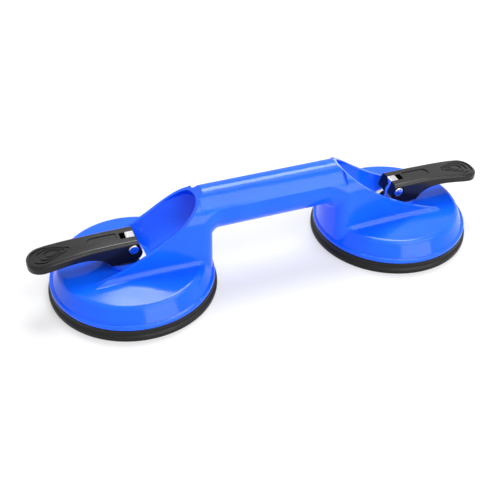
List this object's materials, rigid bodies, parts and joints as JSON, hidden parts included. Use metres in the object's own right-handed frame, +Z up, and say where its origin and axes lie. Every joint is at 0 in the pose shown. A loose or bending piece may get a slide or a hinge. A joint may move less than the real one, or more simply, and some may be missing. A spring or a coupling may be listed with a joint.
{
  "type": "floor tile suction lifter",
  "caption": "Suction lifter for floor tiles and slabs: painted cast body with a round carrying handle, rubber pads under domed cups, and cam levers that draw the pads up to hold.",
  "frame": {"origin": "on the floor, midway between the two cups", "axes": "+X along the handle towards the right cup, +Y away from the viewer, +Z up"},
  "size_m": [0.3474, 0.12, 0.071],
  "materials": {
    "blue_paint": "gloss",
    "pad_rubber": "matte",
    "lever_plastic": "satin",
    "polished_steel": "polished",
    "plated_steel": "satin",
    "spring_steel": "satin",
    "bush_acetal": "satin"
  },
  "bodies": {
    "casting": {"body_casting": "blue_paint", "rubber_pad_left": "pad_rubber", "stud_guide_bush_left": "bush_acetal", "cam_wear_plate_left": "polished_steel", "return_spring_left": "spring_steel", "rubber_pad_right": "pad_rubber", "stud_guide_bush_right": "bush_acetal", "cam_wear_plate_right": "polished_steel", "return_spring_right": "spring_steel"},
    "stud_left": {"pull_stud_left": "polished_steel", "pad_plate_left": "plated_steel", "stud_lock_nut_left": "plated_steel"},
    "lever_arm_left": {"lever_left": "lever_plastic", "lever_pivot_pin_left": "polished_steel", "pin_retaining_ring_left": "spring_steel"},
    "stud_right": {"pull_stud_right": "polished_steel", "pad_plate_right": "plated_steel", "stud_lock_nut_right": "plated_steel"},
    "lever_arm_right": {"lever_right": "lever_plastic", "lever_pivot_pin_right": "polished_steel", "pin_retaining_ring_right": "spring_steel"}
  },
  "joints": [
    {"name": "stud_drop_left", "type": "slide", "parent": "casting", "child": "stud_left", "axis": [0, 0, -1], "range_m": [0, 0.0043], "deforming": ["return_spring_left", "rubber_pad_left"]},
    {"name": "lever_turn_left", "type": "hinge", "parent": "stud_left", "child": "lever_arm_left", "pos_m": [-0.1025, 0, 0.038], "axis": [0, 1, 0], "range_deg": [0, 90]},
    {"name": "stud_drop_right", "type": "slide", "parent": "casting", "child": "stud_right", "axis": [0, 0, -1], "range_m": [0, 0.0043], "deforming": ["return_spring_right", "rubber_pad_right"]},
    {"name": "lever_turn_right", "type": "hinge", "parent": "stud_right", "child": "lever_arm_right", "pos_m": [0.1025, 0, 0.038], "axis": [0, -1, 0], "range_deg": [0, 90]}
  ],
  "couplings": [
    {"joint": "stud_drop_left", "follows": "lever_turn_left", "m_per_rad": 0.002737},
    {"joint": "stud_drop_right", "follows": "lever_turn_right", "m_per_rad": 0.002737}
  ]
}
